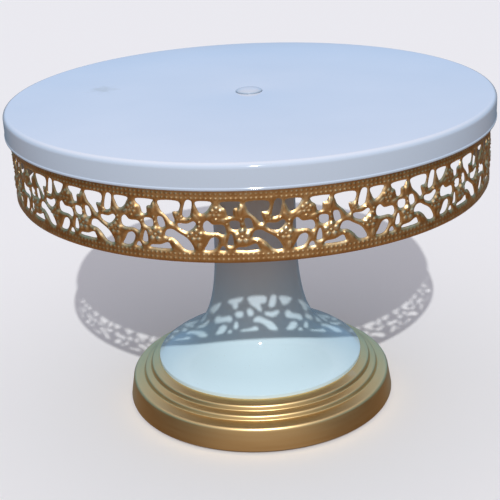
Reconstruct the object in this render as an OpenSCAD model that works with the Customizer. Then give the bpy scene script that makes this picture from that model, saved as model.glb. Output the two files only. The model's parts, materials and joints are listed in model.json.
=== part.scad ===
// Cake turntable: a white enamelled plate with a gold openwork lace skirt,
// turning on a thrust bearing at the top of a white trumpet pedestal that
// stands in a stepped gold base ring.
// Origin: centre of the footprint, on the surface that it stands on. +Z is up.

/* [Plate] */
// Outer radius of the plate
plate_r = 150; // [147:0.5:153]
// Height of the plate's top face above the table
plate_top = 205; // [204:0.5:207]
// Thickness of the plate's pressed sheet
pan_t = 1.2; // [1:0.1:1.4]
// Height of the turned-down rim
rim_h = 14.4; // [12:0.2:17]
// Radius of the rounded top edge of the rim
rim_round = 3; // [2:0.5:4]

/* [Lace skirt] */
// Height of the skirt that shows under the rim
lace_drop = 39.8; // [36:0.2:42]
// Thickness of the skirt
lace_t = 1.8; // [1.4:0.1:2]
// Number of times that the pattern repeats round the skirt
lace_repeats = 20; // [18:1:22]

/* [Bearing] */
// Radius of the spindle
spindle_r = 10; // [9.6:0.1:10.3]
// Radius of each bearing ball
ball_r = 2.75; // [2.5:0.05:2.8]
// Number of balls in the thrust bearing
ball_count = 10; // [8:1:11]
// Length of the spindle below its flange
spindle_l = 49.8; // [48:0.2:51]

/* [Pedestal] */
// Radius of the pedestal's neck
neck_r = 26.7; // [26:0.1:28]
// Radius of the foot of the trumpet, where it meets the base ring
dish_r = 67.4; // [66.8:0.1:67.6]
// Height of the foot of the trumpet above the table
dish_z = 29.1; // [28.8:0.1:30]
// Thickness of the pedestal's spun sheet
shell_t = 1.2; // [1:0.1:1.4]

/* [Base] */
// Radius of the base ring at its lower edge
base_r = 88.2; // [87.5:0.1:90]
// Thickness of the base ring's wall
ring_t = 2.5; // [2.2:0.1:2.8]
// Height that the feet hold the base ring off the table
foot_gap = 1.5; // [1:0.1:2]
// Number of rubber feet
foot_count = 4; // [3:1:6]

/* [Hidden] */
$fn = 96;
EPS = 0.01;

WHITE = [0.88, 0.90, 0.94];
GOLD = [0.62, 0.47, 0.25];
LACE_GOLD = [0.50, 0.36, 0.19];
STEEL = [0.70, 0.71, 0.73];
DARK_STEEL = [0.35, 0.36, 0.38];
BRONZE = [0.66, 0.45, 0.22];
RUBBER = [0.08, 0.08, 0.09];
IRON = [0.20, 0.20, 0.21];

// Plate and skirt, from the top face down
pan_under = plate_top - pan_t;
rim_bottom = plate_top - rim_h;
hem_h = 3;
hem_gap = 0.1;
hem_r = plate_r - 2 * pan_t;
lace_r = hem_r - hem_gap;
lace_bottom = rim_bottom - lace_drop;
lace_tuck = 8.4;
lace_top = rim_bottom + lace_tuck;
lace_h = lace_top - lace_bottom;
tile_w = 2 * PI * lace_r / lace_repeats;
design_w = 46.3;
lace_turn = 3;
clip_count = 10;
clip_w = 12;
clip_leg = 9;
clip_t = 1;

// Centre bolt
bolt_r = 3;
bolt_head_r = 8;
bolt_disc_h = 1.6;
bolt_dome_h = 0.7;
seat_r = 8.4;
seat_depth = 0.5;
bolt_neck = 6;
bolt_l = 30;
bolt_neck_l = 3.6;
bolt_seat_z = plate_top - seat_depth;
neck_hole = bolt_neck + 0.2;

// Hub stack under the plate
gasket_t = 1;
saucer_t = 2;
saucer_r = 60;
saucer_lip = 3;
flange_r = 30;
flange_t = 5;
gasket_bottom = pan_under - gasket_t;
saucer_bottom = gasket_bottom - saucer_t;
flange_bottom = saucer_bottom - flange_t;
spindle_end = flange_bottom - spindle_l;
screw_count = 3;
screw_pitch_r = 22;
flange_screw_r = 2;

// Thrust bearing
race_t = 3;
race_r = 17.5;
race_gap = 4;
ball_clear = 0.15;
ball_pitch_r = 13.75;
race_top_z = flange_bottom - race_t;
race_low_z = race_top_z - race_gap - race_t;
ball_z = race_top_z - race_gap / 2;
cage_t = 1.6;

// Bush, housing and the parts that hold the spindle in
run_clear = 0.05;
bush_r = 13;
bush_top = race_low_z - 1.8;
bush_l = 32;
bush_bottom = bush_top - bush_l;
side_gap = 0.3;
washer_t = 1.5;
washer_r = 15;
groove_depth = 1;
clip_r = 12;
housing_r = neck_r - shell_t - 0.1;
housing_cap_t = 3;
housing_top = race_low_z + 6;
housing_bottom = 130;
housing_cavity_r = 16;
plug_t = 10;
plug_r = 18;
pedestal_top = housing_top - housing_cap_t;

// Tie rod that clamps the pedestal to the base
rod_r = 4;
rod_bottom = 2.6;
nut_h = 5;
nut_af = 13;
plate_z = 10;
cover_t = 2;
cover_r = 83;
tie_washer_t = 1.6;
tie_washer_r = 12;

// Base ring: corners of its outer face, from the lower edge inwards and up
ledge_r = 60;
ledge_z = 26.6;
step_out = [
    [base_r, foot_gap], [85.65, 16.3], [78.5, 17.7], [77.8, 20.5],
    [73.7, 21.9], [73, 24.9], [dish_r + 0.5, ledge_z]
];
boss_count = 4;
boss_r = 4;
boss_pitch_r = 73;
boss_top = 19.5;
cover_screw_r = 1.7;
cover_screw_l = 5.5;

ballast_r = 64;
ballast_hole_r = 16;
ballast_h = 10;
foot_pitch_r = 68;
foot_r = 8;

// Trumpet outline: a cubic curve from the foot up to the neck
curve_top = 111.5;
curve_steps = 20;
trumpet = [
    [dish_r, dish_z], [dish_r - 17.6, dish_z + 15.9], [neck_r, dish_z + 3.3],
    [neck_r, curve_top]
];

function cubic(p, t) = pow(1 - t, 3) * p[0] + 3 * pow(1 - t, 2) * t * p[1]
    + 3 * (1 - t) * t * t * p[2] + pow(t, 3) * p[3];
function slope(p, t) = 3 * pow(1 - t, 2) * (p[1] - p[0])
    + 6 * (1 - t) * t * (p[2] - p[1]) + 3 * t * t * (p[3] - p[2]);
function inward(v) = [-v[1], v[0]] / norm(v);

// ---------------------------------------------------------------- helpers

module ring(r_out, r_in, h) {
    difference() {
        cylinder(r = r_out, h = h);
        translate([0, 0, -1]) cylinder(r = r_in, h = h + 2);
    }
}

module around(count, radius, start = 0) {
    for (i = [0 : count - 1])
        rotate([0, 0, start + 360 * i / count]) translate([radius, 0, 0]) children();
}

// ------------------------------------------------------------------ plate

// Pressed sheet with a rounded edge and a rim whose lower edge is folded in
module pan_outline() {
    difference() {
        union() {
            translate([0, rim_bottom]) square([plate_r, rim_h - rim_round]);
            translate([0, rim_bottom]) square([plate_r - rim_round, rim_h]);
            translate([plate_r - rim_round, plate_top - rim_round]) circle(r = rim_round);
        }
        translate([-1, rim_bottom - 1])
            square([plate_r - pan_t + 1, rim_h - rim_round + 1]);
        translate([-1, rim_bottom - 1])
            square([plate_r - rim_round + 1, rim_h - pan_t + 1]);
        translate([plate_r - rim_round, plate_top - rim_round])
            circle(r = rim_round - pan_t);
    }
    translate([hem_r, rim_bottom]) square([2 * pan_t, hem_h]);
}

// The hole is square so that the bolt can't turn, and its head sits in a shallow seat
module top_pan() {
    color(WHITE) difference() {
        rotate_extrude($fn = 180) intersection() {
            pan_outline();
            square([plate_r + 1, plate_top + 1]);
        }
        translate([-neck_hole / 2, -neck_hole / 2, pan_under - 1])
            cube([neck_hole, neck_hole, pan_t + 2]);
        translate([0, 0, bolt_seat_z]) cylinder(r = seat_r, h = seat_depth + 1);
    }
}

// Openings of one repeat of the lace, drawn flat: x runs round the skirt and
// y runs up it from the lower edge. They are the gaps between petals, leaves
// and stems: an upper row with straight top edges, small gaps over the flower,
// and larger slanting gaps whose lowest edges are straight.
OPENINGS = [
    [[-1.2, 33.1], [8.6, 33.1], [8, 30.4], [4.8, 29.4], [4.4, 25.8], [2, 25.6],
     [0.8, 29.2], [-1, 30.6]],
    [[11.8, 33], [22.6, 33], [22.4, 28], [19, 27.2], [20, 22.6], [18.4, 21.8],
     [15.8, 24.6], [13, 27.2], [11.8, 29.6]],
    [[26.4, 33.3], [29.6, 33.3], [29.2, 28.6], [27.9, 25.2], [24.4, 25.2]],
    [[31.8, 33.2], [39.6, 33.2], [39, 30.6], [37, 28], [34.2, 26.8], [32.4, 29.4]],
    [[3, 22.8], [7.4, 22.6], [7.6, 19], [5, 18.2], [2.9, 19.6]],
    [[10.4, 23.8], [13.2, 24], [14.6, 20.2], [13.6, 18.7], [11.2, 18.9]],
    [[21.8, 21.2], [26.6, 21.2], [30, 22.6], [31.2, 20.8], [27.2, 17.2], [22.4, 18.6]],
    [[14.2, 14], [15.4, 17.2], [18.4, 17.8], [21.4, 16.2], [26.6, 12.8], [29.6, 7.2],
     [25, 7], [21.2, 11], [18, 13.2]],
    [[35.2, 18.4], [35.4, 21.6], [37.6, 23.1], [40.2, 21], [45.4, 20.8], [46.8, 17.6],
     [45.4, 15.6], [42.6, 16.6], [37, 16.8]],
    [[35.2, 7.2], [36.6, 9.8], [38.6, 13.2], [41.4, 14.2], [43, 12.4], [41.6, 8.8], [39, 7]],
    [[1.1, 10.2], [2.4, 15.2], [3.5, 15.6], [4.2, 12.6], [3.8, 9.8]],
    [[43.4, 7], [44.2, 8.9], [45.6, 9.2], [46.4, 7]],
    [[6, 7], [6.4, 8.4], [11, 8.8], [15.4, 10.4], [16.8, 8.8], [16.4, 7]]
];

module lace_openings() {
    for (outline = OPENINGS)
        polygon([for (p = outline) [p[0] * tile_w / design_w, p[1]]]);
}

module lace_band() {
    color(LACE_GOLD) difference() {
        translate([0, 0, lace_bottom]) ring(lace_r, lace_r - lace_t, lace_h, $fn = 180);
        for (k = [0 : lace_repeats - 1])
            rotate([0, 0, lace_turn + 360 * k / lace_repeats])
                translate([-tile_w / 2, -(lace_r - 8), lace_bottom])
                    rotate([90, 0, 0]) linear_extrude(16) lace_openings();
    }
}

// Small angle clips welded under the plate and to the inside of the skirt
module lace_clips() {
    leg_r = lace_r - lace_t;
    color(STEEL) intersection() {
        around(clip_count, leg_r - clip_leg, 9) {
            translate([0, -clip_w / 2, pan_under - clip_t]) cube([clip_leg, clip_w, clip_t]);
            translate([clip_leg - 2 * clip_t, -clip_w / 2, pan_under - clip_leg])
                cube([clip_leg, clip_w, clip_leg]);
        }
        difference() {
            cylinder(r = leg_r, h = plate_top);
            translate([0, 0, -1]) cylinder(r = leg_r - clip_t, h = pan_under - clip_t + 1);
        }
    }
}

// A disc whose top is a very shallow dome
module bolt_head() {
    head_h = bolt_disc_h + bolt_dome_h;
    dome_r = (bolt_head_r * bolt_head_r + bolt_dome_h * bolt_dome_h) / (2 * bolt_dome_h);
    rotate_extrude() intersection() {
        translate([0, head_h - dome_r]) circle(r = dome_r);
        square([bolt_head_r, head_h]);
    }
}

module centre_bolt() {
    color(WHITE) {
        translate([0, 0, bolt_seat_z]) bolt_head();
        translate([-bolt_neck / 2, -bolt_neck / 2, plate_top - bolt_neck_l])
            cube([bolt_neck, bolt_neck, bolt_neck_l - seat_depth]);
        translate([0, 0, plate_top - bolt_l]) cylinder(r = bolt_r, h = bolt_l - seat_depth);
    }
}

module hub_gasket() {
    color(RUBBER) difference() {
        translate([0, 0, gasket_bottom]) cylinder(r = saucer_r, h = gasket_t);
        translate([0, 0, gasket_bottom - 1]) cylinder(r = 4.5, h = gasket_t + 2);
    }
}

// Pressed disc with a short turned-down lip that stiffens the plate's middle
module support_saucer() {
    color(STEEL) difference() {
        union() {
            translate([0, 0, saucer_bottom]) cylinder(r = saucer_r, h = saucer_t);
            translate([0, 0, saucer_bottom - saucer_lip])
                ring(saucer_r, saucer_r - saucer_t, saucer_lip + EPS);
        }
        translate([0, 0, saucer_bottom - 1]) cylinder(r = 4.5, h = saucer_t + 2);
        around(screw_count, screw_pitch_r)
            translate([0, 0, saucer_bottom - 1]) cylinder(r = flange_screw_r + 0.05, h = saucer_t + 2);
    }
}

module spindle() {
    color(STEEL) difference() {
        union() {
            translate([0, 0, flange_bottom]) cylinder(r = flange_r, h = flange_t);
            translate([0, 0, spindle_end]) cylinder(r = spindle_r, h = spindle_l + 1);
        }
        translate([0, 0, saucer_bottom - bolt_l]) cylinder(r = bolt_r + run_clear, h = bolt_l + 1);
        around(screw_count, screw_pitch_r)
            translate([0, 0, flange_bottom - 1]) cylinder(r = flange_screw_r + 0.05, h = flange_t + 2);
        translate([0, 0, bush_bottom - side_gap - 2 * washer_t])
            ring(spindle_r + 2, spindle_r - groove_depth, washer_t);
    }
}

module flange_screws() {
    color(DARK_STEEL) around(screw_count, screw_pitch_r) {
        translate([0, 0, flange_bottom - 2.4]) cylinder(r = 3.6, h = 2.4);
        translate([0, 0, flange_bottom - EPS]) cylinder(r = flange_screw_r, h = flange_t + saucer_t);
    }
}

// ---------------------------------------------------------------- bearing

module race_groove() {
    rotate_extrude() translate([ball_pitch_r, ball_z]) circle(r = ball_r + ball_clear, $fn = 48);
}

module thrust_race_top() {
    color(STEEL) difference() {
        translate([0, 0, race_top_z]) ring(race_r, spindle_r + run_clear, race_t);
        race_groove();
    }
}

module thrust_race_bottom() {
    color(STEEL) difference() {
        translate([0, 0, race_low_z]) ring(race_r, spindle_r + 0.5, race_t);
        race_groove();
    }
}

module thrust_balls() {
    color(STEEL) around(ball_count, ball_pitch_r)
        translate([0, 0, ball_z]) sphere(r = ball_r, $fn = 32);
}

module ball_cage() {
    color(BRONZE) difference() {
        translate([0, 0, ball_z - cage_t / 2]) ring(race_r - 0.3, spindle_r + 0.6, cage_t);
        around(ball_count, ball_pitch_r)
            translate([0, 0, ball_z - cage_t])
                cylinder(r = ball_r + ball_clear / 2, h = 2 * cage_t, $fn = 48);
    }
}

module retaining_washer() {
    color(BRONZE) translate([0, 0, bush_bottom - side_gap - washer_t])
        ring(washer_r, spindle_r + run_clear, washer_t);
}

// Spring clip with an open gap, seated in the spindle's groove
module retaining_ring() {
    color(DARK_STEEL) translate([0, 0, bush_bottom - side_gap - 2 * washer_t + 0.05])
        difference() {
            ring(clip_r, spindle_r - groove_depth + run_clear, washer_t - 0.1);
            translate([0, -2.5, -1]) cube([clip_r + 1, 5, washer_t + 2]);
        }
}

module spindle_bush() {
    color(BRONZE) translate([0, 0, bush_bottom]) ring(bush_r, spindle_r + run_clear, bush_l);
}

// Turned sleeve that fills the neck, with a cap that rests on the pedestal
module bearing_housing() {
    color(DARK_STEEL) difference() {
        union() {
            translate([0, 0, housing_bottom]) cylinder(r = housing_r, h = housing_top - housing_bottom);
            translate([0, 0, pedestal_top])
                cylinder(r = neck_r, h = housing_cap_t);
        }
        translate([0, 0, race_low_z]) cylinder(r = race_r + run_clear, h = race_t + 10);
        translate([0, 0, bush_bottom]) cylinder(r = bush_r, h = bush_l);
        translate([0, 0, bush_bottom - 1]) cylinder(r = spindle_r + 1, h = bush_l + 20);
        translate([0, 0, housing_bottom + plug_t - 1])
            cylinder(r = housing_cavity_r, h = bush_bottom - housing_bottom - plug_t + 1);
        translate([0, 0, housing_bottom - 1]) cylinder(r = plug_r, h = plug_t + 1);
    }
}

module housing_plug() {
    color(DARK_STEEL) translate([0, 0, housing_bottom]) ring(plug_r, rod_r + run_clear, plug_t);
}

// --------------------------------------------------------------- pedestal

// Spun sheet: the trumpet curve, the straight neck and a short foot edge
module pedestal() {
    outer = [for (i = [0 : curve_steps]) cubic(trumpet, i / curve_steps)];
    inner = [for (i = [0 : curve_steps])
        cubic(trumpet, i / curve_steps) + shell_t * inward(slope(trumpet, i / curve_steps))];
    color(WHITE) rotate_extrude() polygon(concat(
        [[dish_r, ledge_z]], outer, [[neck_r, pedestal_top]],
        [[neck_r - shell_t, pedestal_top]],
        [for (i = [curve_steps : -1 : 1]) inner[i]],
        [[dish_r - shell_t - 0.4, dish_z - 0.9], [dish_r - shell_t - 0.4, ledge_z]]
    ));
}

module tie_rod() {
    color(STEEL) translate([0, 0, rod_bottom])
        cylinder(r = rod_r, h = housing_bottom + plug_t - rod_bottom);
}

module tie_washer() {
    color(STEEL) translate([0, 0, plate_z - tie_washer_t])
        ring(tie_washer_r, rod_r + run_clear, tie_washer_t);
}

module tie_nut() {
    color(STEEL) translate([0, 0, plate_z - tie_washer_t - nut_h]) difference() {
        cylinder(r = nut_af / sqrt(3), h = nut_h, $fn = 6);
        translate([0, 0, -1]) cylinder(r = rod_r + run_clear, h = nut_h + 2);
    }
}

// ------------------------------------------------------------------- base

// Stepped ring: three shallow tiers above a wall that flares outwards
module base_ring() {
    step_in = [for (i = [5 : -1 : 1]) step_out[i] - [ring_t, ring_t]];
    color(GOLD) difference() {
        union() {
            rotate_extrude($fn = 180) polygon(concat(
                step_out, [[ledge_r, ledge_z], [ledge_r, ledge_z - ring_t]],
                step_in, [[base_r - ring_t, foot_gap]]
            ));
            around(boss_count, boss_pitch_r)
                translate([0, 0, plate_z + cover_t]) cylinder(r = boss_r, h = boss_top - plate_z - cover_t);
        }
        around(boss_count, boss_pitch_r)
            translate([0, 0, plate_z]) cylinder(r = cover_screw_r, h = cover_t + cover_screw_l - 1.5);
    }
}

module ballast() {
    color(IRON) translate([0, 0, plate_z + cover_t]) ring(ballast_r, ballast_hole_r, ballast_h);
}

module bottom_plate() {
    color(IRON) difference() {
        translate([0, 0, plate_z]) cylinder(r = cover_r, h = cover_t);
        translate([0, 0, plate_z - 1]) cylinder(r = rod_r + 0.5, h = cover_t + 2);
        around(boss_count, boss_pitch_r)
            translate([0, 0, plate_z - 1]) cylinder(r = cover_screw_r + 0.3, h = cover_t + 2);
    }
}

module bottom_screws() {
    color(STEEL) around(boss_count, boss_pitch_r) {
        translate([0, 0, plate_z - 1.9]) cylinder(r = 3.2, h = 1.9);
        translate([0, 0, plate_z - EPS]) cylinder(r = cover_screw_r - 0.1, h = cover_screw_l);
    }
}

module rubber_feet() {
    color(RUBBER) around(foot_count, foot_pitch_r, 45) {
        cylinder(r1 = foot_r - 1.5, r2 = foot_r - 0.5, h = 4);
        translate([0, 0, 4 - EPS]) cylinder(r = foot_r, h = plate_z - 4 + EPS);
    }
}

top_pan();
lace_band();
lace_clips();
centre_bolt();
hub_gasket();
support_saucer();
spindle();
flange_screws();
thrust_race_top();
retaining_washer();
retaining_ring();
thrust_balls();
ball_cage();
thrust_race_bottom();
spindle_bush();
bearing_housing();
housing_plug();
pedestal();
tie_rod();
tie_washer();
tie_nut();
base_ring();
ballast();
bottom_plate();
bottom_screws();
rubber_feet();
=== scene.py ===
import json
import math

import bpy
import numpy as np
from mathutils import Matrix, Vector


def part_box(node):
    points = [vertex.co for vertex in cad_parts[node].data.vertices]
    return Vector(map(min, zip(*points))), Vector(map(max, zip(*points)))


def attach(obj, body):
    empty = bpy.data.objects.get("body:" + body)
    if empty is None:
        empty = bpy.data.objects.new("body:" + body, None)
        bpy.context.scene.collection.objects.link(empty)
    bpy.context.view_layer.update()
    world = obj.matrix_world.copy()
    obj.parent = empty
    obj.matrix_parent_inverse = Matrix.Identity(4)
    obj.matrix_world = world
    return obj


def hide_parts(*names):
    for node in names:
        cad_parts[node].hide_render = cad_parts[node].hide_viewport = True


# A cake turntable: white enamelled plate with a gold openwork lace skirt,
# turning on a white trumpet pedestal that stands in a stepped gold base ring.
# Lengths in the outlines are millimetres; MM turns them into metres.

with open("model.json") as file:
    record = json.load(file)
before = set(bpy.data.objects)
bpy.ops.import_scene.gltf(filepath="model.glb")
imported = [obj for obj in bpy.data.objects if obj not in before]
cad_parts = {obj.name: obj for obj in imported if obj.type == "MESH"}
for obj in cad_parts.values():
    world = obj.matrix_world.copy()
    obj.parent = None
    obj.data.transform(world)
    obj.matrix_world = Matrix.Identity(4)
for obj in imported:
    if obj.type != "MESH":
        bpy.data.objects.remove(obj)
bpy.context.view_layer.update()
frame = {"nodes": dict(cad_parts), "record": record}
MM = 0.001

PLATE_BODY = "plate"
BASE_BODY = "base"
CAGE_BODY = "bearing_cage"


# ---------------------------------------------------------------- geometry
# A solid is (verts, faces): points in millimetres and tuples of their indices.

def box_mm(node):
    """Lowest and highest corner of a CAD node, in millimetres."""
    low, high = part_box(node)
    return low / MM, high / MM


def add_piece(name, solids, material, body, node, smooth_deg=40):
    """Makes a mesh object that stands for a CAD node, and hangs it on a body."""
    verts, faces = joined(solids)
    mesh = bpy.data.meshes.new(name)
    mesh.from_pydata([tuple(c * MM for c in v) for v in verts], [], faces)
    mesh.validate()
    mesh.shade_smooth()
    mesh.set_sharp_from_angle(angle=math.radians(smooth_deg))
    mesh.materials.append(MATERIALS[material])
    piece = placed(name, mesh)
    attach(piece, body)
    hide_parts(node)
    return piece


def placed(name, data):
    """A new object in the scene."""
    made = bpy.data.objects.new(name, data)
    bpy.context.scene.collection.objects.link(made)
    return made


def joined(solids):
    """Puts several solids into one, all facing out."""
    verts, faces = [], []
    for v, f in solids:
        base = len(verts)
        verts.extend(v)
        faces.extend([tuple(i + base for i in face) for face in facing_out(v, f)])
    return verts, faces


def facing_out(verts, faces):
    """Flips all faces if the closed mesh is inside out."""
    v = np.array(verts, float)
    fans = np.array([(f[0], f[j], f[j + 1]) for f in faces for j in range(1, len(f) - 1)])
    first, second, third = (v[fans[:, i]] for i in range(3))
    volume = (first * np.cross(second, third)).sum()
    return faces if volume > 0 else [tuple(reversed(f)) for f in faces]


def even_steps(whole, count):
    """Values from 0 to the whole in equal steps."""
    return [whole * k / count for k in range(count + 1)]


def fillet(corners, steps=6):
    """Rounds an outline. Each corner is (x, y, radius); radius 0 stays sharp."""
    nearly_straight = math.radians(89)
    points = []
    for i, (x, y, radius) in enumerate(corners):
        here = Vector((x, y))
        if radius <= 0:
            points.append(tuple(here))
            continue
        to_last = (Vector(corners[i - 1][:2]) - here).normalized()
        to_next = (Vector(corners[(i + 1) % len(corners)][:2]) - here).normalized()
        half = to_last.angle(to_next) / 2
        if half > nearly_straight:
            points.append(tuple(here))
            continue
        reach = radius / math.tan(half)
        centre = here + (to_last + to_next).normalized() * (radius / math.sin(half))
        start = here + to_last * reach - centre
        end = here + to_next * reach - centre
        for a in even_steps(-start.angle_signed(end), steps):
            c, s = math.cos(a), math.sin(a)
            points.append((centre.x + c * start.x - s * start.y, centre.y + s * start.x + c * start.y))
    return points


def lathe(outline, segments=256):
    """Turns a closed outline of (radius, height) points about Z into a solid."""
    on_axis = 1e-6
    verts, faces, rows = [], [], []
    for r, z in outline:
        if r < on_axis:
            rows.append([len(verts)] * segments)
            verts.append((0.0, 0.0, z))
            continue
        rows.append(list(range(len(verts), len(verts) + segments)))
        verts += circle(r, z, segments)
    for i, here in enumerate(rows):
        after = rows[(i + 1) % len(rows)]
        if here[0] == here[1] and after[0] == after[1]:
            continue
        for k in range(segments):
            n = (k + 1) % segments
            corner = [here[k], here[n], after[n], after[k]]
            unique = [v for j, v in enumerate(corner) if v not in corner[:j]]
            if len(unique) > 2:
                faces.append(unique)
    return verts, faces


def loft(loops, closed=False):
    """Joins loops of equal length. The ends are capped, or joined when closed."""
    count = len(loops[0])
    verts = [point for loop in loops for point in loop]
    faces = []
    for i in range(len(loops) if closed else len(loops) - 1):
        a, b = i * count, (i + 1) % len(loops) * count
        faces += [(a + k, a + (k + 1) % count, b + (k + 1) % count, b + k) for k in range(count)]
    if not closed:
        faces += [tuple(reversed(range(count))), tuple(range(len(verts) - count, len(verts)))]
    return verts, faces


def ring_of(radius_at, z, segments=48):
    """Points round the axis; radius_at gives the radius for each angle in degrees."""
    points = []
    for k in range(segments):
        degrees = 360 * k / segments
        r, a = radius_at(degrees), math.radians(degrees)
        points.append((r * math.cos(a), r * math.sin(a), z))
    return points


def circle(radius, z, segments=48):
    """Points of a circle round the axis."""
    return ring_of(lambda degrees: radius, z, segments)


def prism(outline, bottom, top):
    """A straight solid over an outline of (x, y) points."""
    return loft([[(x, y, z) for x, y in outline] for z in (bottom, top)])


def threaded_rod(radius, bottom, top, pitch, segments=32):
    """A rod with a helical thread, its ends closed and slightly tapered."""
    rings_per_turn, thread_depth = 6, 0.12
    end_size, taper_rings = 0.8, 3
    rings = round((top - bottom) / pitch * rings_per_turn)
    loops = []
    for i, rise_so_far in enumerate(even_steps(top - bottom, rings)):
        z = bottom + rise_so_far
        size = radius * min(1.0, end_size + (1 - end_size) * min(i, rings - i) / taper_rings)

        def thread(degrees, z=z, size=size):
            groove_share = abs((z / pitch - degrees / 360) % 1.0 * 2 - 1)
            return size * (1 - thread_depth * groove_share)

        loops.append(ring_of(thread, z, segments))
    return loft(loops)


def copies(solid, count, pitch_r, first=0):
    """The same solid at several places round the axis; first is in degrees."""
    verts, faces = solid
    solids = []
    for k in range(count):
        a = math.radians(first + 360 * k / count)
        x, y = pitch_r * math.cos(a), pitch_r * math.sin(a)
        solids.append(([(vx + x, vy + y, vz) for vx, vy, vz in verts], faces))
    return solids


def groove(middle_r, level, half_width, depth, edge_r, floor_r):
    """Corners of a groove pressed up into a level face, from outside in."""
    floor = half_width / 2
    return [(middle_r + half_width, level, edge_r), (middle_r + floor, level + depth, floor_r),
            (middle_r - floor, level + depth, floor_r), (middle_r - half_width, level, edge_r)]


# --------------------------------------------------------------- materials

class Nodes:
    """Small helpers for building a node tree."""

    def __init__(self, tree):
        self.tree = tree

    def node(self, kind, **settings):
        made = self.tree.nodes.new(kind)
        for key, value in settings.items():
            setattr(made, key, value)
        return made

    def link(self, source, target):
        self.tree.links.new(source, target)

    def mix(self, factor, a, b):
        made = self.node("ShaderNodeMix", data_type="RGBA")
        for index, value in ((0, factor), (6, a), (7, b)):
            if isinstance(value, tuple):
                made.inputs[index].default_value = (*value, 1.0)
            else:
                self.link(value, made.inputs[index])
        return made.outputs[2]

    def remap(self, value, low, high, out_low, out_high, **settings):
        made = self.node("ShaderNodeMapRange", **settings)
        numbers = {"From Min": low, "From Max": high, "To Min": out_low, "To Max": out_high}
        for socket, number in numbers.items():
            made.inputs[socket].default_value = number
        self.link(value, made.inputs["Value"])
        return made.outputs["Result"]

    def split(self, vector):
        made = self.node("ShaderNodeSeparateXYZ")
        self.link(vector, made.inputs["Vector"])
        return made.outputs


class Shader(Nodes):
    """A Principled material. Noise scales are per metre of the object."""

    def __init__(self, name, metallic=0.0, **sockets):
        self.material = bpy.data.materials.new(name)
        self.material.use_nodes = True
        super().__init__(self.material.node_tree)
        self.bsdf = next(n for n in self.tree.nodes if n.type == "BSDF_PRINCIPLED")
        self.bsdf.inputs["Metallic"].default_value = metallic
        for socket, value in sockets.items():
            self.bsdf.inputs[socket.replace("_", " ")].default_value = value
        self.coords = self.node("ShaderNodeTexCoord").outputs["Object"]

    def noise(self, scale, detail=4.0, roughness=0.55, coords=None):
        made = self.node("ShaderNodeTexNoise")
        made.inputs["Scale"].default_value = scale
        made.inputs["Detail"].default_value = detail
        made.inputs["Roughness"].default_value = roughness
        self.link(coords or self.coords, made.inputs["Vector"])
        return made.outputs["Fac"]

    def ramp(self, factor, stops):
        made = self.node("ShaderNodeValToRGB")
        elements = made.color_ramp.elements
        while len(elements) < len(stops):
            elements.new(0.5)
        for element, (position, colour) in zip(elements, stops):
            element.position = position
            element.color = (*colour, 1.0)
        self.link(factor, made.inputs["Fac"])
        return made.outputs["Color"]

    def math(self, operation, *values):
        made = self.node("ShaderNodeMath", operation=operation)
        for socket, value in zip(made.inputs, values):
            if isinstance(value, (int, float)):
                socket.default_value = value
            else:
                self.link(value, socket)
        return made.outputs["Value"]

    def turned(self, scale):
        """Noise drawn out round the axis, as a lathe or a polishing wheel leaves it. It
        follows radius and height, and wavers slightly on the way round."""
        x, y, z = self.split(self.coords)
        squares = self.math("ADD", self.math("MULTIPLY", x, x), self.math("MULTIPLY", y, y))
        waver = self.math("MULTIPLY", self.noise(4.0, 1.0), 0.02)
        spot = self.node("ShaderNodeCombineXYZ")
        for source, socket in zip((self.math("SQRT", squares), z, waver), spot.inputs):
            self.link(source, socket)
        return self.noise(scale, 3.0, 0.6, spot.outputs["Vector"])

    def bump(self, height, strength, distance_mm):
        made = self.node("ShaderNodeBump")
        made.inputs["Strength"].default_value = strength
        made.inputs["Distance"].default_value = distance_mm * MM
        self.link(height, made.inputs["Height"])
        self.link(made.outputs["Normal"], self.bsdf.inputs["Normal"])

    def edge(self):
        """White on convex edges, black elsewhere."""
        geometry = self.node("ShaderNodeNewGeometry")
        flat, sharp = 0.50, 0.56
        return self.remap(geometry.outputs["Pointiness"], flat, sharp, 0.0, 1.0)

    def colour(self, source):
        self.link(source, self.bsdf.inputs["Base Color"])

    def rough(self, source, lowest, highest):
        """Roughness that follows a noise from its lowest to its highest value."""
        self.link(self.remap(source, 0.3, 0.7, lowest, highest), self.bsdf.inputs["Roughness"])


WHITE, BRIGHT_WHITE = (0.74, 0.78, 0.84), (0.80, 0.83, 0.88)
DUST = (0.55, 0.53, 0.48)
STAIN = (0.50, 0.47, 0.36)


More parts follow.
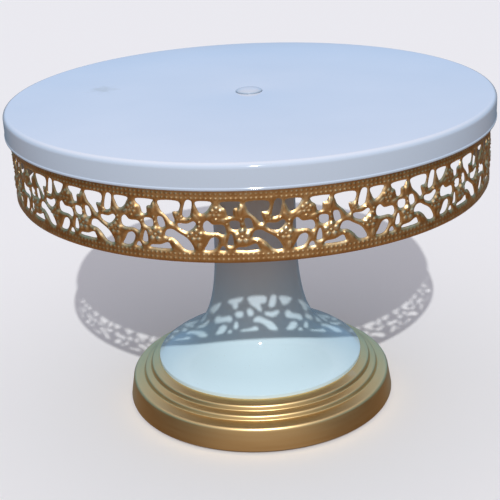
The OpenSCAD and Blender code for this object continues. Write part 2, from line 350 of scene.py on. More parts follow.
def white_enamel(name="white_enamel", shade=1.0, stain=None, painted_light_below=None, gloss=(0.07, 0.12)):
    """Baked gloss enamel: faint orange peel, soft tone shifts, dust and light rubbing.
    shade darkens both whites, and gloss is the lowest and highest roughness. stain is the
    place of a stain, and painted_light_below is (height where it starts, height where it is
    full, tone), all in metres, for a painted tone lower down that stands in for light: painted
    shade on the plate's rim and the bolt head's foot, painted sky reflection on the pedestal's foot."""
    s = Shader(name, Specular_IOR_Level=0.5)
    pale, paler = [tuple(shade * c for c in white) for white in (WHITE, BRIGHT_WHITE)]
    tone = s.ramp(s.noise(9.0, 3.0), [(0.3, pale), (0.7, paler)])
    if painted_light_below:
        start, full, painted_light_tone = painted_light_below
        height = s.split(s.coords)["Z"]
        # Painted light: lower down the colour blends into the given tone (painted shade on the rim and
        # bolt, painted sky reflection on the pedestal).
        tone = s.mix(s.remap(height, full, start, 0.85, 0.0), tone, painted_light_tone)
    tone = s.mix(s.remap(s.noise(900.0, 2.0), 0.70, 0.78, 0.0, 0.35), tone, DUST)
    if stain:
        far = s.node("ShaderNodeVectorMath", operation="DISTANCE")
        s.link(s.coords, far.inputs[0])
        far.inputs[1].default_value = stain
        ragged = s.remap(s.noise(180.0, 4.0), 0.3, 0.7, -0.004, 0.004)
        blot = s.math("ADD", far.outputs["Value"], ragged)
        tone = s.mix(s.remap(blot, 0.001, 0.010, 0.40, 0.0), tone, STAIN)
    s.colour(tone)
    s.rough(s.noise(35.0, 5.0), *gloss)
    s.bump(s.noise(420.0, 2.0), 0.08, 0.05)
    return s.material


def gold_ring():
    """Satin gold plate with fine turning marks, paler on its convex edges: partly rubbed plating and
    partly a painted highlight.
    """
    s = Shader("gold_ring", metallic=1.0)
    tone = s.ramp(s.turned(160.0), [(0.25, (0.95, 0.65, 0.27)), (0.75, (1.0, 0.73, 0.34))])
    # Painted highlight: convex edges blend towards pale gold, partly rubbed plating and partly the
    # highlight that rounded edges catch.
    s.colour(s.mix(s.math("MULTIPLY", s.edge(), 0.4), tone, (0.98, 0.82, 0.56)))
    s.rough(s.turned(700.0), 0.36, 0.44)
    s.bump(s.turned(1400.0), 0.12, 0.02)
    return s.material


def lace_gold():
    """Lacquered antique gold over a stamped relief: brown patina in the hollows; crests and opening edges
    painted paler, partly rubbed wear and partly painted highlight.
    """
    s = Shader("lace_gold", metallic=1.0, Coat_Weight=0.45, Coat_Roughness=0.16)
    wear_and_sheen = s.node("ShaderNodeAttribute", attribute_name="wear_and_sheen").outputs["Fac"]
    wear_and_highlight = s.math("ADD", wear_and_sheen, s.remap(s.noise(150.0, 6.0, 0.7), 0.3, 0.7, -0.25, 0.25))
    # The brown low stops are patina; the pale cream top stop is partly rubbed gold and partly a painted
    # highlight.
    s.colour(s.ramp(wear_and_highlight, [(0.0, (0.60, 0.33, 0.12)), (0.35, (0.77, 0.46, 0.19)),
                           (0.6, (0.90, 0.61, 0.29)), (0.9, (1.00, 0.88, 0.60))]))
    s.rough(s.noise(260.0, 4.0), 0.32, 0.50)
    s.bump(s.noise(700.0, 4.0, 0.65), 0.6, 0.12)
    return s.material


def turned_metal(name, low, high, smoothest, roughest):
    """Turned or pressed metal with fine marks."""
    s = Shader(name, metallic=1.0)
    s.colour(s.ramp(s.turned(220.0), [(0.3, low), (0.7, high)]))
    s.rough(s.turned(900.0), smoothest, roughest)
    s.bump(s.turned(1600.0), 0.2, 0.02)
    return s.material


def rubber():
    """Black rubber with a fine grain and a little dust."""
    s = Shader("rubber", Specular_IOR_Level=0.3)
    black, dusty = (0.012, 0.012, 0.013), (0.045, 0.044, 0.043)
    s.colour(s.ramp(s.noise(300.0, 6.0), [(0.35, black), (0.8, dusty)]))
    s.rough(s.noise(500.0, 4.0), 0.6, 0.85)
    s.bump(s.noise(1500.0, 3.0), 0.3, 0.05)
    return s.material


def painted_iron():
    """Black paint over cast iron and sheet, slightly grained, with pale dust."""
    s = Shader("cast_iron", Specular_IOR_Level=0.4)
    black, worn_black = (0.018, 0.018, 0.020), (0.045, 0.045, 0.048)
    paint = s.ramp(s.noise(60.0, 6.0), [(0.3, black), (0.75, worn_black)])
    s.colour(s.mix(s.remap(s.noise(700.0, 3.0), 0.62, 0.8, 0.0, 0.5), paint, (0.16, 0.15, 0.14)))
    s.rough(s.noise(200.0, 4.0), 0.38, 0.6)
    s.bump(s.noise(900.0, 5.0), 0.35, 0.08)
    return s.material


MATERIALS = {
    "white_enamel": white_enamel(),
    # The plate's rim is painted darker and bluer below the top's edge: painted shade on the upright face.
    "plate_enamel": white_enamel("plate_enamel", stain=(-0.092, 0.020, 0.205),
                                 painted_light_below=(0.2049, 0.2036, (0.625, 0.730, 0.85)), gloss=(0.05, 0.09)),
    # The pedestal's lower part is painted pale cyan: a painted reflection of the blue sky on the
    # upward-facing dish.
    "pedestal_enamel": white_enamel("pedestal_enamel", painted_light_below=(0.105, 0.050, (0.72, 0.94, 0.98)),
                                    gloss=(0.03, 0.05)),
    # The bolt head is painted dark grey-blue towards its foot: painted shade where the domed head meets
    # the plate.
    "bolt_enamel": white_enamel("bolt_enamel", shade=0.95, painted_light_below=(0.2068, 0.2052, (0.36, 0.46, 0.55)),
                                gloss=(0.22, 0.30)),
    "gold_ring": gold_ring(),
    "lace_gold": lace_gold(),
    "steel": turned_metal("steel", (0.52, 0.53, 0.55), (0.70, 0.71, 0.73), 0.20, 0.38),
    "dark_steel": turned_metal("dark_steel", (0.13, 0.13, 0.14), (0.22, 0.22, 0.23), 0.28, 0.46),
    "bronze": turned_metal("bronze", (0.50, 0.30, 0.13), (0.66, 0.44, 0.20), 0.22, 0.40),
    "rubber": rubber(),
    "cast_iron": painted_iron(),
}

# Every CAD node takes the material of its slot; the pieces below replace some.
for row in frame["record"]["subparts"]:
    mesh = frame["nodes"][row["node"]].data
    mesh.materials.clear()
    mesh.materials.append(MATERIALS[row["material_slot"]])


# ------------------------------------------------------------------- plate

BOLT_SEAT_DEPTH = 0.5


def make_top_pan():
    """Pressed sheet with a rounded edge, a rim folded in below and a seat for the bolt."""
    low, high = box_mm("top_pan")
    outer_r, top, rim_bottom = high.x, high.z, low.z
    sheet = 1.2
    under = top - sheet
    inner_r = outer_r - sheet
    hem_r = outer_r - 2 * sheet
    hem_top = rim_bottom + 3
    edge_r = 3.0
    wall_r = outer_r - 0.3
    hole_r = 4.4
    seat_r = box_mm("centre_bolt")[1].x + 0.4
    seat_z = top - BOLT_SEAT_DEPTH
    outline = fillet([
        (hole_r, seat_z, 0), (seat_r, seat_z, 0.15), (seat_r, top, 0.2), (wall_r, top, edge_r),
        (wall_r, rim_bottom + 1.9, 0.4), (outer_r, rim_bottom + 1.4, 0.3), (outer_r, rim_bottom, 0.9),
        (hem_r, rim_bottom, 0.9), (hem_r, hem_top, 0.6), (inner_r, hem_top + 0.8, 0.3),
        (inner_r, under, edge_r - sheet), (hole_r, under, 0),
    ], steps=10)
    add_piece("plate_pan", [lathe(outline)], "plate_enamel", PLATE_BODY, "top_pan")


def make_centre_bolt():
    """Smooth domed head, tucked in below, on a square neck and a threaded shank."""
    low, high = box_mm("centre_bolt")
    plate_z = box_mm("top_pan")[1].z
    seat_z = plate_z - BOLT_SEAT_DEPTH
    head_r, head_h = high.x, high.z - plate_z
    roundness = 0.8
    crown = [(head_r * math.sin(a) ** roundness, plate_z + head_h * math.cos(a) ** roundness)
             for a in even_steps(math.pi / 2, 24)]
    rim = [(head_r - 0.5, plate_z - 0.15), (head_r - 0.7, seat_z), (0, seat_z)]
    neck_half, neck_h = 3, 3.1
    neck_bottom = seat_z - neck_h
    square = [(neck_half, neck_half), (-neck_half, neck_half),
              (-neck_half, -neck_half), (neck_half, -neck_half)]
    shank_r, thread_pitch = 3.0, 1.0
    solids = [lathe(crown + rim, 96), prism(square, neck_bottom, seat_z),
              threaded_rod(shank_r, low.z, neck_bottom, thread_pitch)]
    add_piece("bolt_centre", solids, "bolt_enamel", PLATE_BODY, "centre_bolt")


# -------------------------------------------------------------- lace skirt

# One repeat of the pattern, flat: x runs round the skirt, y up from its lower
# edge. Each opening is a smooth closed curve through a few listed points.
TILE_W = 46.3
REPEATS = 20
# Where the first repeat starts, in degrees round from the front
FIRST_REPEAT = -6
OPENINGS = [
    [(-1.2, 33.1), (8.6, 33.1), (8, 30.4), (4.8, 29.4), (4.4, 25.8), (2, 25.6), (0.8, 29.2), (-1, 30.6)],
    [(11.8, 33), (22.6, 33), (22.4, 28), (19, 27.2), (20, 22.6), (18.4, 21.8), (15.8, 24.6),
     (13, 27.2), (11.8, 29.6)],
    [(26.4, 33.3), (29.6, 33.3), (29.2, 28.6), (27.9, 25.2), (24.4, 25.2)],
    [(31.8, 33.2), (39.6, 33.2), (39, 30.6), (37, 28), (34.2, 26.8), (32.4, 29.4)],
    [(3, 22.8), (7.4, 22.6), (7.6, 19), (5, 18.2), (2.9, 19.6)],
    [(10.4, 23.8), (13.2, 24), (14.6, 20.2), (13.6, 18.7), (11.2, 18.9)],
    [(21.8, 21.2), (26.6, 21.2), (30, 22.6), (31.2, 20.8), (27.2, 17.2), (22.4, 18.6)],
    [(14.2, 14), (15.4, 17.2), (18.4, 17.8), (21.4, 16.2), (26.6, 12.8), (29.6, 7.2), (25, 7),
     (21.2, 11), (18, 13.2)],
    [(35.2, 18.4), (35.4, 21.6), (37.6, 23.1), (40.2, 21), (45.4, 20.8), (46.8, 17.6), (45.4, 15.6),
     (42.6, 16.6), (37, 16.8)],
    [(35.2, 7.2), (36.6, 9.8), (38.6, 13.2), (41.4, 14.2), (43, 12.4), (41.6, 8.8), (39, 7)],
    [(1.1, 10.2), (2.4, 15.2), (3.5, 15.6), (4.2, 12.6), (3.8, 9.8)],
    [(43.4, 7), (44.2, 8.9), (45.6, 9.2), (46.4, 7)],
    [(6, 7), (6.4, 8.4), (11, 8.8), (15.4, 10.4), (16.8, 8.8), (16.4, 7)],
]
# Flower: x, y, radius and the first petal's direction in degrees
FLOWERS = [(8.9, 14.5, 4.9, 90), (31.3, 15.1, 4.1, 90), (22.5, 24.4, 2.4, 90), (42.4, 27.8, 3.4, 90)]
# Leaf: x, y, length, width and direction in degrees
LEAVES = [
    (8.3, 28.8, 8.5, 3.0, 82), (31.4, 24.8, 6.5, 2.5, -55), (18.6, 19.8, 5.5, 2.2, -20),
    (24.2, 16.3, 8.5, 2.2, -33), (32.8, 8.9, 6.0, 3.0, 80), (20.2, 9.2, 6.5, 2.4, -48),
    (46.4, 23.4, 6.5, 2.6, 12), (38.6, 25.4, 6.5, 2.5, 32), (46.3, 12.6, 5.5, 2.2, 72),
]
# Small round boss: x, y and radius
BOSSES = [
    (9.0, 21.0, 0.9), (8.7, 23.8, 0.8), (1.5, 21.2, 0.8), (27.0, 14.4, 0.9), (28.4, 23.9, 0.8),
    (33.2, 22.2, 0.9), (33.0, 19.9, 0.8), (16.4, 11.6, 0.9), (42.0, 24.0, 0.9),
]
BEAD_ROWS = (2.1, 4.6, 35.0, 37.3)
BEADS_PER_REPEAT = 18
BEAD_R = 0.72
PETALS = 5
# A petal's middle, half length, half width and the end of its vein, and the round
# heart, in radii of the flower
PETAL_MIDDLE = 0.58
PETAL_HALF_LENGTH = 0.42
PETAL_HALF_WIDTH = 0.37
PETAL_VEIN_END = 0.62
FLOWER_HEART = 0.24
# Spacing of the grid that the pattern is cut from, and the height that the grid covers
GRID = 0.45
SKIRT_SHOWN = 39.8
# Relief above the back of the sheet: the thin edge of an opening, the bevel
# that rises from it, and what petals, leaves, bosses and beads add on top
EDGE_HEIGHT = 0.2
BEVEL_HEIGHT = 0.7
RELIEF_HEIGHT = 0.9
BEVEL_WIDTH = 1.3
SHEET_DEPTH = EDGE_HEIGHT + BEVEL_HEIGHT + RELIEF_HEIGHT
LEAF_HEIGHT = 0.7
HEART_HEIGHT = 0.8
BOSS_HEIGHT = 0.8
BEAD_HEIGHT = 0.7
VEIN_DEPTH = 0.3
LEAF_VEIN_WIDTH = 0.3
PETAL_VEIN_WIDTH = 0.25
# How steeply the relief climbs from an edge, and the same for each kind beside it
MOUND_SLOPE = 0.62
LEAF_SLOPE = 0.85
BOSS_SLOPE = 1.4
BEAD_SLOPE = 1.3
# How pale the gold is painted, from 0 to 1, for rubbed wear and painted highlight: beside openings, on
# their edges and on the back
RUBBED_WEAR_AND_SHEEN = 0.75
EDGE_WEAR_AND_SHEEN = 0.7
BACK_WEAR = 0.1
ARC_COUNT = 4
REPEATS_PER_ARC = REPEATS // ARC_COUNT


def smooth_curve(points, steps=5):
    """A closed curve through the points."""
    p = np.array(points, float)
    before, after, later = np.roll(p, 1, 0), np.roll(p, -1, 0), np.roll(p, -2, 0)
    rows = []
    for t in np.arange(steps) / steps:
        rows.append(0.5 * (2 * p + (after - before) * t + (2 * before - 5 * p + 4 * after - later) * t ** 2
                           + (3 * p - before - 3 * after + later) * t ** 3))
    return np.stack(rows, 1).reshape(-1, 2)


def signed_distance(px, py, outline):
    """Distance to a closed outline, negative inside it."""
    a, b = outline, np.roll(outline, -1, 0)
    edge = b - a
    rel_x, rel_y = px[..., None] - a[:, 0], py[..., None] - a[:, 1]
    t = np.clip((rel_x * edge[:, 0] + rel_y * edge[:, 1]) / np.maximum((edge ** 2).sum(1), 1e-9), 0, 1)
    near = np.hypot(rel_x - t * edge[:, 0], rel_y - t * edge[:, 1]).min(-1)
    crosses = (a[:, 1] > py[..., None]) != (b[:, 1] > py[..., None])
    rise = np.where(np.abs(edge[:, 1]) < 1e-9, 1e-9, edge[:, 1])
    odd = (crosses & (px[..., None] < a[:, 0] + rel_y / rise * edge[:, 0])).sum(-1) % 2 == 1
    return np.where(odd, -near, near)


def turned_xy(dx, dy, degrees):
    """The same offset along and across a direction."""
    a = math.radians(degrees)
    return dx * math.cos(a) + dy * math.sin(a), dy * math.cos(a) - dx * math.sin(a)


def rise(inset, limit=RELIEF_HEIGHT):
    """A mound that climbs from its edge at one slope and rounds off at the limit."""
    straight = 0.6
    rest = 1 - straight
    climb = np.clip(inset, 0, None) * MOUND_SLOPE / limit
    return limit * np.where(climb < straight, climb, 1 - rest * np.exp(-(climb - straight) / rest))


def leaf(dx, dy, length, width, direction):
    """Distance into a leaf from its edge, and its relief."""
    u, v = turned_xy(dx, dy, direction)
    half = width / 2 * np.clip(1 - (u / (length / 2)) ** 2, -1, 1)
    inset = (half - np.abs(v)) * LEAF_SLOPE
    vein = VEIN_DEPTH * np.exp(-(v / LEAF_VEIN_WIDTH) ** 2) * (half > 0.4)
    return inset, rise(inset, LEAF_HEIGHT) - vein


def petal(dx, dy, flower_r, direction):
    """Distance into an oval petal from its edge, and its relief."""
    u, v = turned_xy(dx, dy, direction)
    half_length, half_width = PETAL_HALF_LENGTH * flower_r, PETAL_HALF_WIDTH * flower_r
    inset = (1 - np.hypot((u - PETAL_MIDDLE * flower_r) / half_length, v / half_width)) * half_width
    inner_part = (u < PETAL_VEIN_END * flower_r) * (inset > 0.3)
    vein = VEIN_DEPTH * np.exp(-(v / PETAL_VEIN_WIDTH) ** 2) * inner_part
    return inset, rise(inset) - vein


def lace_fields(px, py):
    """Distance into the metal from the nearest opening, and the relief's height."""
    gap = np.full(px.shape, 1e3)
    relief = np.zeros(px.shape)
    shifts = (-TILE_W, 0, TILE_W)
    for outline in (smooth_curve(points) for points in OPENINGS):
        for shift in shifts:
            gap = np.minimum(gap, signed_distance(px, py, outline + [shift, 0]))
    for shift in shifts:
        for x, y, length, width, direction in LEAVES:
            inset, height = leaf(px - x - shift, py - y, length, width, direction)
            gap = np.maximum(gap, inset)
            relief = np.maximum(relief, height)
        for x, y, r, first in FLOWERS:
            dx, dy = px - x - shift, py - y
            for k in range(PETALS):
                inset, height = petal(dx, dy, r, first + 360 / PETALS * k)
                gap = np.maximum(gap, inset)
                relief = np.where(inset > 0, np.maximum(height, relief * 0.5), relief)
            heart = rise(FLOWER_HEART * r - np.hypot(dx, dy), HEART_HEIGHT) * 1.1
            relief = np.maximum(relief, heart)
        for x, y, r in BOSSES:
            inset = r - np.hypot(px - x - shift, py - y)
            gap = np.maximum(gap, inset)
            relief = np.maximum(relief, rise(inset * BOSS_SLOPE, BOSS_HEIGHT))
    bead_pitch = TILE_W / BEADS_PER_REPEAT
    bead_x = np.mod(px, bead_pitch) - bead_pitch / 2
    for y in BEAD_ROWS:
        inset = BEAD_R - np.hypot(bead_x, py - y)
        relief = np.maximum(relief, rise(inset * BEAD_SLOPE, BEAD_HEIGHT))
    bevel = BEVEL_HEIGHT * np.clip(np.minimum(gap, py) / BEVEL_WIDTH, 0, 1)
    return gap, EDGE_HEIGHT + bevel + np.clip(relief, 0, RELIEF_HEIGHT)


def lace_grid(height):
    """A grid over one repeat: x, y, distance into the metal, relief, and wear with painted highlight. Two
    coarse rows cover the plain top, which the rim hides."""
    rows = round(SKIRT_SHOWN / GRID)
    ys = list(np.linspace(0, SKIRT_SHOWN, rows + 1)) + [(SKIRT_SHOWN + height) / 2, height]
    xs = np.linspace(0, TILE_W, round(TILE_W / GRID) + 1)
    px, py = np.meshgrid(xs, ys, indexing="ij")
    gap, relief = lace_fields(px, py)
    nearest = 0.05
    gap = np.where(np.abs(gap) < nearest, np.where(gap < 0, -nearest, nearest), gap)
    gap[-1], relief[-1] = gap[0], relief[0]
    # High relief and a band just inside each opening's edge are painted paler: partly rubbed gold, partly
    # painted highlight.
    wear_and_sheen_on_crests = (relief - EDGE_HEIGHT) / (BEVEL_HEIGHT + RELIEF_HEIGHT)
    rubbed_and_lit_line, fade = 0.5, 1.2
    wear_and_sheen_beside_openings = RUBBED_WEAR_AND_SHEEN - np.abs(gap - rubbed_and_lit_line) / fade
    return px, py, gap, relief, np.maximum(wear_and_sheen_on_crests, wear_and_sheen_beside_openings)


def lace_tile(height):
    """One repeat of the skirt, cut along the openings: the number of columns, the
    (x, y, relief, wear and painted highlight) of each corner key, the faces as lists of keys,
    and the pairs of keys whose edge needs a wall. A key is (kind, column, row): "n" is a grid
    point, and "h" and "v" are cuts in the level or upright line that starts there."""
    px, py, gap, relief, wear_and_highlight = lace_grid(height)
    columns, last_row = gap.shape[0] - 1, gap.shape[1] - 1
    spots, faces, walls = {}, [], []
    for i in range(columns):
        for j in range(last_row):
            if (gap[i:i + 2, j:j + 2] < 0).all():
                continue
            face, cut = [], []
            square = ((i, j), (i + 1, j), (i + 1, j + 1), (i, j + 1))
            for here, after in zip(square, square[1:] + square[:1]):
                if gap[here] > 0:
                    face.append(("n", *here))
                    cut.append(False)
                    spots[face[-1]] = (px[here], py[here], relief[here], wear_and_highlight[here])
                if (gap[here] > 0) != (gap[after] > 0):
                    t = gap[here] / (gap[here] - gap[after])
                    face.append(("h" if here[1] == after[1] else "v", *min(here, after)))
                    cut.append(True)
                    # Cut edges take a high value: painted highlight and wear along the openings.
                    spots[face[-1]] = (px[here] + t * (px[after] - px[here]),
                                       py[here] + t * (py[after] - py[here]), EDGE_HEIGHT, EDGE_WEAR_AND_SHEEN)
            faces.append(face)
            walls += walled_edges(face, cut, last_row)
    return columns, spots, faces, walls


def walled_edges(face, cut, last_row):
    """The edges of a face that run along an opening, or along the skirt's top or bottom."""
    edges = []
    for c, here in enumerate(face):
        n = (c + 1) % len(face)
        after = face[n]
        level = here[0] == after[0] == "n" and here[2] == after[2]
        if (cut[c] and cut[n]) or (level and here[2] in (0, last_row)):
            edges.append((here, after))
    return edges


def lace_arc(tile, start, back_r, bottom):
    """The verts and faces of one arc of the skirt, and the wear and painted highlight of each vert."""
    columns, spots, faces, walls = tile
    index, verts, wear_and_highlight_values = {}, [], []

    def corner(key, repeat, front):
        kind, i, j = key
        full = (kind, i + repeat * columns, j, front)
        if full not in index:
            x, y, relief, wear_and_highlight = spots[key]
            turn = start + 2 * math.pi / REPEATS * (repeat + x / TILE_W)
            r = back_r + (relief if front else 0)
            index[full] = len(verts)
            verts.append((r * math.sin(turn), -r * math.cos(turn), bottom + y))
            wear_and_highlight_values.append(wear_and_highlight if front else BACK_WEAR)
        return index[full]

    def wall(here, after, repeat):
        return [corner(after, repeat, True), corner(here, repeat, True),
                corner(here, repeat, False), corner(after, repeat, False)]

    closed = []
    for repeat in range(REPEATS_PER_ARC):
        for face in faces:
            closed.append([corner(k, repeat, True) for k in face])
            closed.append([corner(k, repeat, False) for k in reversed(face)])
        closed += [wall(here, after, repeat) for here, after in walls]
    for face in faces:
        for here, after in zip(face, face[1:] + face[:1]):
            for column, repeat in ((0, 0), (columns, REPEATS_PER_ARC - 1)):
                if all(k[0] in "nv" and k[1] == column for k in (here, after)):
                    closed.append(wall(here, after, repeat))
    return verts, closed, wear_and_highlight_values


def make_lace():
    """The stamped skirt, in four arcs that meet edge to edge."""
    low, high = box_mm("lace_band")
    tile = lace_tile(high.z - low.z)
    for arc in range(ARC_COUNT):
        start = math.radians(FIRST_REPEAT) + 2 * math.pi / ARC_COUNT * arc
        verts, faces, wear_and_highlight_values = lace_arc(tile, start, high.x - SHEET_DEPTH, low.z)
        piece = add_piece(f"lace_skirt_{arc}", [(verts, faces)], "lace_gold", PLATE_BODY,
                          "lace_band", smooth_deg=50)
        # The vertex attribute holds wear and painted highlight for the lace's colour.
        piece.data.attributes.new("wear_and_sheen", "FLOAT", "POINT").data.foreach_set("value", wear_and_highlight_values)


# ---------------------------------------------------------- pedestal, base

def cubic(p, t):
    """A point of a cubic curve and its inward normal."""
    p = [Vector(q) for q in p]
    point = p[0] * (1 - t) ** 3 + p[1] * 3 * (1 - t) ** 2 * t + p[2] * 3 * (1 - t) * t * t + p[3] * t ** 3
    slope = (p[1] - p[0]) * 3 * (1 - t) ** 2 + (p[2] - p[1]) * 6 * (1 - t) * t + (p[3] - p[2]) * 3 * t * t
    slope.normalize()
    return point, Vector((-slope.y, slope.x))


def make_pedestal():
    """Trumpet of one sheet, from a straight neck to a wide foot with a short upright edge."""
    low, high = box_mm("pedestal")
    foot_r, foot_z = high.x, low.z + 2.5
    neck_r, neck_z = 26.7, 111.5
    sheet = 1.2
    curve = [(foot_r, foot_z), (foot_r - 17.6, foot_z + 15.9), (neck_r, foot_z + 3.3), (neck_r, neck_z)]
    outer, inner = [], []
    for t in even_steps(1, 48):
        point, inward = cubic(curve, t)
        outer.append(tuple(point))
        inner.append(tuple(point + sheet * inward))
    inside_r = foot_r - sheet - 0.4
    # The rounded edge of the foot takes the place of the curve's first points
    outer, inner = outer[3:], inner[2:]
    foot = fillet([(inside_r, low.z, 0.3), (foot_r, low.z, 0.3), (foot_r, foot_z + 0.1, 0.7),
                   (*outer[0], 0)], steps=5)[:-1]
    neck = [(neck_r, high.z), (neck_r - sheet, high.z)]
    outline = foot + outer + neck + inner[::-1] + [(inside_r, foot_z - 0.9)]
    add_piece("pedestal_trumpet", [lathe(outline)], "pedestal_enamel",
              BASE_BODY, "pedestal")


def make_base_ring():
    """Ring of bent sheet: an upright wall and three rounded tiers up to the pedestal."""
    low, high = box_mm("base_ring")
    foot_r, foot_z, ledge_z = high.x, low.z, high.z
    wall = 2.5
    soft, hollow = 1.8, 0.9
    inside_r = 60
    # Corners of the outside, from the foot up, as (radius, height, rounding)
    outside = [
        (foot_r, foot_z, 0.6), (85.65, 16.3, 2.6), (78.5, 17.7, hollow), (77.8, 20.5, soft),
        (73.7, 21.9, hollow), (73.0, 24.9, soft), (67.9, ledge_z, 0.4),
    ]
    inside = [(inside_r, ledge_z, 0.4), (inside_r, ledge_z - wall, 0.4)]
    inside += [(r - wall, z - wall, hollow) for r, z, _ in reversed(outside[1:6])]
    inside += [(foot_r - wall, foot_z, 0.6)]
    add_piece("base_ring_stepped", [lathe(fillet(outside + inside))], "gold_ring",
              BASE_BODY, "base_ring")


# --------------------------------------------------- parts seen from below

def make_support_saucer():
    """Pressed disc under the plate: a turned-down lip and two stiffening grooves."""
    low, high = box_mm("support_saucer")
    sheet = 2
    lip_r, top, under = high.x, high.z, high.z - sheet
    hole_r = 4.5
    corners = [(hole_r, top, 0.2), (lip_r, top, 1.8), (lip_r, low.z, 0.6),
               (lip_r - sheet, low.z, 0.6), (lip_r - sheet, under, 1.0)]
    for groove_r in (47, 37):
        corners += groove(groove_r, under, half_width=3, depth=0.8, edge_r=0.8, floor_r=0.6)
    corners.append((hole_r, under, 0.2))
    add_piece("saucer_pressed", [lathe(fillet(corners, steps=4), 128)], "steel",
              PLATE_BODY, "support_saucer")


def make_bottom_plate():
    """Painted cover with a rounded edge and pressed rings."""
    low, high = box_mm("bottom_plate")
    outer_r, bottom, top = high.x, low.z, high.z
    hole_r = 4.5
    corners = [(hole_r, top, 0.2), (outer_r, top, 0.7), (outer_r, bottom, 0.7)]
    for groove_r in (56, 30):
        corners += groove(groove_r, bottom, half_width=4, depth=0.9, edge_r=1.2, floor_r=0.8)
    corners.append((hole_r, bottom, 0.2))
    add_piece("cover_plate", [lathe(fillet(corners, steps=4), 192)], "cast_iron",
              BASE_BODY, "bottom_plate")


def make_bottom_screws():
    """Pan heads with a cross recess on threaded shanks."""
    low, high = box_mm("bottom_screws")
    head_r, head_h = 3.2, 1.9
    arm_r, notch_r = 1.7, 0.65
    arm_width = 0.4
    floor_size, floor_depth, mouth_depth = 0.6, 1.3, 0.12
    screw_count = 4

    def cross(degrees):
        return arm_r if abs(math.sin(math.radians(2 * degrees))) < arm_width else notch_r

    recess = [ring_of(lambda degrees: floor_size * cross(degrees), low.z + floor_depth),
              ring_of(cross, low.z + mouth_depth)]
    # Radius of the head and depth below its face, from the recess out to the seat
    profile = [(2.1, 0), (2.7, 0.25), (3.05, 0.75), (head_r, 1.3), (head_r, head_h), (1.5, head_h)]
    head = loft(recess + [circle(r, low.z + depth) for r, depth in profile])
    shank_r, shank_low, thread_pitch = 1.6, low.z + head_h - 0.1, 0.8
    shank = threaded_rod(shank_r, shank_low, high.z, thread_pitch, segments=20)
    screw = joined([head, shank])
    add_piece("screws_cover", copies(screw, screw_count, high.x - head_r), "steel",
              BASE_BODY, "bottom_screws")


def make_rubber_feet():
    """Moulded feet: bevelled tread, a groove round the waist and a dimple below."""
    low, high = box_mm("rubber_feet")
    foot_count, first_foot = 4, 45
    foot_r, waist_r = 8, 7.4
    dimple_r, dimple_top = 2.4, 3.0
    outline = fillet([
        (0, dimple_top, 0), (dimple_r, dimple_top, 0.5), (dimple_r + 0.2, low.z, 0.5),
        (6.4, low.z, 0.6), (7.3, 4.0, 0.3), (foot_r, 4.3, 0.4), (foot_r, 6.4, 0.4),
        (waist_r, 6.9, 0.3), (waist_r, 7.8, 0.3), (foot_r, 8.3, 0.4), (foot_r, high.z, 0.3),
        (0, high.z, 0),
    ], steps=3)
    # The box's corner foot lies on the diagonal
    pitch_r = (high.x - foot_r) * math.sqrt(2)
    feet = copies(lathe(outline, 48), foot_count, pitch_r, first_foot)
    add_piece("feet_moulded", feet, "rubber", BASE_BODY, "rubber_feet")


def make_tie_nut():
    """Chamfered hexagon nut."""
    low, high = box_mm("tie_nut")
    flat = high.y
    corner = flat / math.cos(math.radians(30))
    bore_r = 4.05

    def hexagon(limit):
        return lambda degrees: min(limit, flat / math.cos(math.radians(degrees % 60 - 30)))

    # Largest radius at each distance from an end
    chamfer = [(flat - 0.3, 0), (corner - 0.4, 0.45), (corner, 0.8)]
    loops = [ring_of(hexagon(limit), low.z + distance) for limit, distance in chamfer]
    loops += [ring_of(hexagon(limit), high.z - distance) for limit, distance in reversed(chamfer)]
    loops += [circle(bore_r, high.z), circle(bore_r, low.z)]
    add_piece("nut_tie", [loft(loops, closed=True)], "steel", BASE_BODY, "tie_nut",
              smooth_deg=25)


def make_tie_rod():
    """Threaded rod that clamps the pedestal to its base."""
    low, high = box_mm("tie_rod")
    add_piece("rod_tie", [threaded_rod(high.x, low.z, high.z, pitch=1.25)], "steel",
              BASE_BODY, "tie_rod")


def make_lace_clips():
    """Bent angles that hold the skirt under the plate, curved to fit its back."""
    low, high = box_mm("lace_clips")
    outer_r = box_mm("lace_band")[1].x - SHEET_DEPTH
    leg = high.z - low.z
    width, thick = 12, 1
    clip_count, first_clip = 10, 9
    angle = fillet([
        (outer_r - leg, high.z, 0.2), (outer_r, high.z, 1.5), (outer_r, low.z, 0.2),
        (outer_r - thick, low.z, 0.2), (outer_r - thick, high.z - thick, 0.5),
        (outer_r - leg, high.z - thick, 0.2),
    ], steps=4)
    clips = []
    for clip in range(clip_count):
        start = math.radians(first_clip + 360 / clip_count * clip) - width / 2 / outer_r
        turns = [start + a for a in even_steps(width / outer_r, 8)]
        clips.append(loft([[(r * math.cos(a), r * math.sin(a), z) for r, z in angle] for a in turns]))
    add_piece("clips_lace", clips, "steel", PLATE_BODY, "lace_clips")


def make_thrust_balls():
    """Bearing balls, which roll between the two races."""
    low, high = box_mm("thrust_balls")
    ball_r = (high.z - low.z) / 2
    ball_count = 10
    outline = [(ball_r * math.sin(a), low.z + ball_r * (1 + math.cos(a)))
               for a in even_steps(math.pi, 24)]
    balls = copies(lathe(outline, 48), ball_count, high.x - ball_r)
    add_piece("balls_thrust", balls, "steel", CAGE_BODY, "thrust_balls")


make_top_pan()
make_centre_bolt()
make_lace()
make_pedestal()
make_base_ring()
make_support_saucer()
make_bottom_plate()
make_bottom_screws()
make_rubber_feet()
make_tie_nut()
make_tie_rod()
make_lace_clips()
make_thrust_balls()


# ------------------------------------------------------------ stage, camera

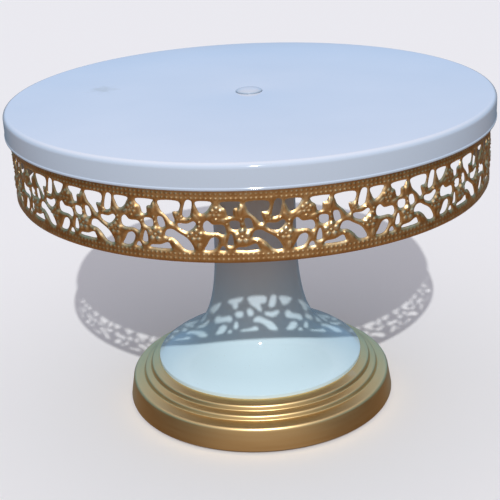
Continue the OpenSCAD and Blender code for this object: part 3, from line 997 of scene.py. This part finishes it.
def make_stage():
    """A pale floor that curves up far away. It shows the object's shadow but sends
    no light back onto it."""
    s = Shader("stage_floor", Roughness=0.9, Specular_IOR_Level=0.1)
    s.bsdf.inputs["Base Color"].default_value = (0.96, 0.94, 0.90, 1.0)
    inner_r, level_r, bend_r = 1000, 6000, 4000
    bend = [(level_r + bend_r * math.sin(a), bend_r - bend_r * math.cos(a))
            for a in even_steps(math.pi / 2, 16)]
    verts, faces = loft([circle(r, z, 64) for r, z in [(inner_r, 0)] + bend])
    # The last face would close the bowl above the scene
    open_bowl = faces[:-1]
    mesh = bpy.data.meshes.new("stage_floor")
    mesh.from_pydata([tuple(c * MM for c in v) for v in verts], [], open_bowl)
    mesh.shade_smooth()
    mesh.materials.append(s.material)
    floor = placed("stage_floor", mesh)
    floor.visible_diffuse = False
    floor.visible_glossy = False
    floor.visible_shadow = False


# Light from each part of the surroundings
SKY_HIGH = (0.58, 0.54, 0.60)
SKY_BACK = (0.20, 0.48, 0.86)
SKY_FRONT = (0.38, 0.40, 0.48)
SKY_SIDE = (0.10, 0.25, 0.40)
GROUND = (0.235, 0.155, 0.10)
GROUND_BACK = (0.11, 0.15, 0.20)
GROUND_SIDE = (0.10, 0.05, 0.018)
# What the far side adds to matt light, which is paler than its blue reflection
SKY_BACK_MATT = (0.42, 0.46, 0.54)
GROUND_BACK_MATT = (0.17, 0.155, 0.14)


def make_world():
    """Soft sky overhead, blue at the far side, dim at both sides, above a warm ground."""
    world = bpy.data.worlds.new("studio")
    bpy.context.scene.world = world
    world.use_nodes = True
    w = Nodes(world.node_tree)
    direction = w.split(w.node("ShaderNodeTexCoord").outputs["Generated"])
    is_matt = w.node("ShaderNodeLightPath").outputs["Is Diffuse Ray"]

    def blend(axis, start, end, first, second):
        """Goes from the first colour to the second along an axis of the direction."""
        share = w.remap(direction[axis], start, end, 0.0, 1.0, interpolation_type="SMOOTHSTEP")
        return w.mix(share, first, second)

    ground_back = w.mix(is_matt, GROUND_BACK, GROUND_BACK_MATT)
    sky_back = blend("Z", 0.02, 0.16, ground_back, w.mix(is_matt, SKY_BACK, SKY_BACK_MATT))
    near_to_far = blend("Y", -0.3, 0.3, SKY_FRONT, sky_back)
    low_sky = blend("X", -0.85, -0.35, SKY_SIDE, blend("X", 0.35, 0.85, near_to_far, SKY_SIDE))
    sky = blend("Z", 0.4, 0.7, low_sky, SKY_HIGH)
    ground = blend("Y", 0.5, 0.9, GROUND, ground_back)
    ground = blend("X", -0.95, -0.5, GROUND_SIDE, blend("X", 0.5, 0.95, ground, GROUND_SIDE))
    w.link(blend("Z", -0.05, 0.05, ground, sky), w.tree.nodes["Background"].inputs["Color"])


# The sun's height above the floor, its turn to the right of the camera and its width
# in the sky, in degrees
SUN_ELEVATION, SUN_AZIMUTH, SUN_WIDTH = 41.8, 1.1, 0.8
SUN_STRENGTH = 1.9
SUN_COLOUR = (0.98, 1.0, 1.03)


def make_sun():
    """One small bright light, which throws the skirt's pattern onto the stem."""
    light = bpy.data.lights.new("key", "SUN")
    light.energy = SUN_STRENGTH
    light.color = SUN_COLOUR
    light.angle = math.radians(SUN_WIDTH)
    lamp = placed("key", light)
    lamp.location = (0, 0, 1)
    lamp.rotation_euler = (math.radians(90 - SUN_ELEVATION), 0, math.radians(SUN_AZIMUTH))


# The camera's place in plate radii, its angles in degrees and its lens in millimetres
CAMERA_BACK, CAMERA_UP = 4.495, 1.093
CAMERA_PITCH, CAMERA_YAW, CAMERA_ROLL = 21.79, 0.32, -2.59
CAMERA_LENS, CAMERA_SENSOR = 80.25, 36.0


def make_camera():
    """Looks down at the front of the plate from a little above it."""
    plate_high = box_mm("top_pan")[1]
    plate_r = plate_high.x * MM
    plate_z = plate_high.z * MM
    camera = placed("camera", bpy.data.cameras.new("camera"))
    camera.data.lens = CAMERA_LENS
    camera.data.sensor_width = CAMERA_SENSOR
    camera.data.clip_start = 0.01
    camera.data.clip_end = 60
    turn = (Matrix.Rotation(math.radians(CAMERA_YAW), 4, "Z")
            @ Matrix.Rotation(math.radians(90 - CAMERA_PITCH), 4, "X")
            @ Matrix.Rotation(math.radians(CAMERA_ROLL), 4, "Z"))
    place = (0, -CAMERA_BACK * plate_r, plate_z + CAMERA_UP * plate_r)
    camera.matrix_world = Matrix.Translation(place) @ turn
    bpy.context.scene.camera = camera


make_stage()
make_world()
make_sun()
make_camera()
bpy.context.scene.view_settings.view_transform = "Standard"
